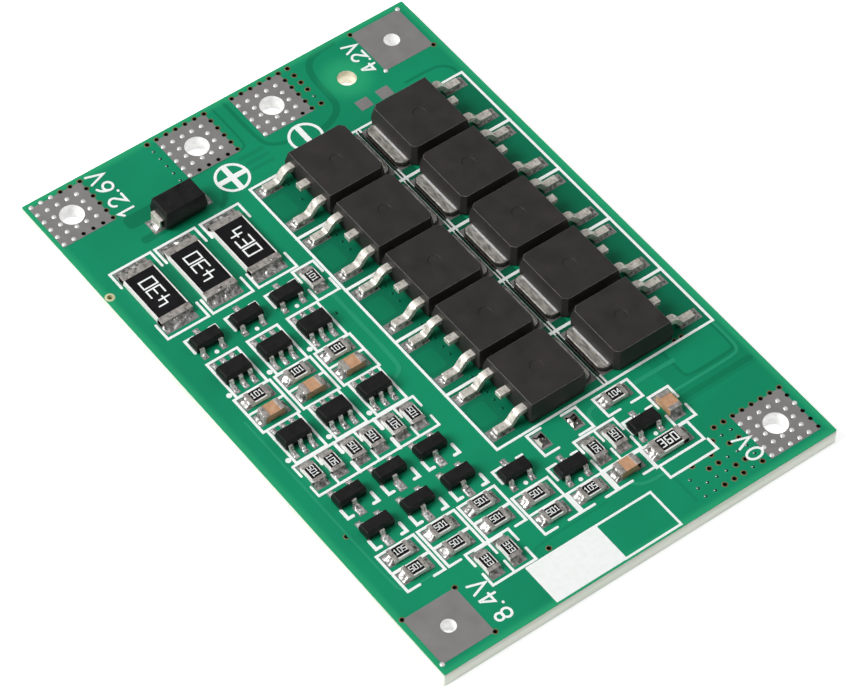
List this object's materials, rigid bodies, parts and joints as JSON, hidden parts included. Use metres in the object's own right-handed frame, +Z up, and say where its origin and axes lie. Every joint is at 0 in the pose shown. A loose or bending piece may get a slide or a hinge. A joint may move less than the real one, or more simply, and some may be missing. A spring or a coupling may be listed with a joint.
{
  "type": "battery management board",
  "caption": "Rectangular green circuit board with rows of power transistors, small surface-mount parts and square tinned wire terminals, for protecting and balancing a battery pack",
  "frame": {"origin": "centre of the underside", "axes": "+X along the 60 mm side, towards the end with two terminals; +Y along the 41 mm side, towards the edge next to the power transistors; +Z up, out of the populated face"},
  "size_m": [0.06, 0.041, 0.0039],
  "materials": {
    "glass_epoxy": "satin",
    "solder_mask": "glossy",
    "tinned_lands": "tinned, slightly rough",
    "tin_plate": "matt tin",
    "power_epoxy": "matt moulded epoxy",
    "package_epoxy": "matt moulded epoxy",
    "ceramic": "white alumina",
    "resistor_glaze": "dark glaze",
    "capacitor_ceramic": "tan ceramic"
  },
  "bodies": {
    "root": {"laminate": "glass_epoxy", "solder_mask_top": "solder_mask", "solder_mask_bottom": "solder_mask", "terminal_12v6": "tinned_lands", "terminal_plus": "tinned_lands", "terminal_minus": "tinned_lands", "terminal_4v2": "tinned_lands", "terminal_8v4": "tinned_lands", "terminal_0v": "tinned_lands", "component_lands": "tinned_lands", "mosfet_body_01": "power_epoxy", "mosfet_tab_01": "tin_plate", "mosfet_leads_01": "tin_plate", "mosfet_body_02": "power_epoxy", "mosfet_tab_02": "tin_plate", "mosfet_leads_02": "tin_plate", "mosfet_body_03": "power_epoxy", "mosfet_tab_03": "tin_plate", "mosfet_leads_03": "tin_plate", "mosfet_body_04": "power_epoxy", "mosfet_tab_04": "tin_plate", "mosfet_leads_04": "tin_plate", "mosfet_body_05": "power_epoxy", "mosfet_tab_05": "tin_plate", "mosfet_leads_05": "tin_plate", "mosfet_body_06": "power_epoxy", "mosfet_tab_06": "tin_plate", "mosfet_leads_06": "tin_plate", "mosfet_body_07": "power_epoxy", "mosfet_tab_07": "tin_plate", "mosfet_leads_07": "tin_plate", "mosfet_body_08": "power_epoxy", "mosfet_tab_08": "tin_plate", "mosfet_leads_08": "tin_plate", "mosfet_body_09": "power_epoxy", "mosfet_tab_09": "tin_plate", "mosfet_leads_09": "tin_plate", "mosfet_body_10": "power_epoxy", "mosfet_tab_10": "tin_plate", "mosfet_leads_10": "tin_plate", "balance_resistor_cores": "ceramic", "balance_resistor_ends": "tin_plate", "balance_resistor_films": "resistor_glaze", "chip_resistor_cores": "ceramic", "chip_resistor_ends": "tin_plate", "chip_resistor_films": "resistor_glaze", "chip_capacitor_cores": "capacitor_ceramic", "chip_capacitor_ends": "tin_plate", "transistor_bodies": "package_epoxy", "transistor_leads": "tin_plate", "balance_ic_bodies": "package_epoxy", "balance_ic_leads": "tin_plate", "protection_ic_bodies": "package_epoxy", "protection_ic_leads": "tin_plate", "diode_body": "package_epoxy", "diode_straps": "tin_plate"}
  },
  "joints": []
}
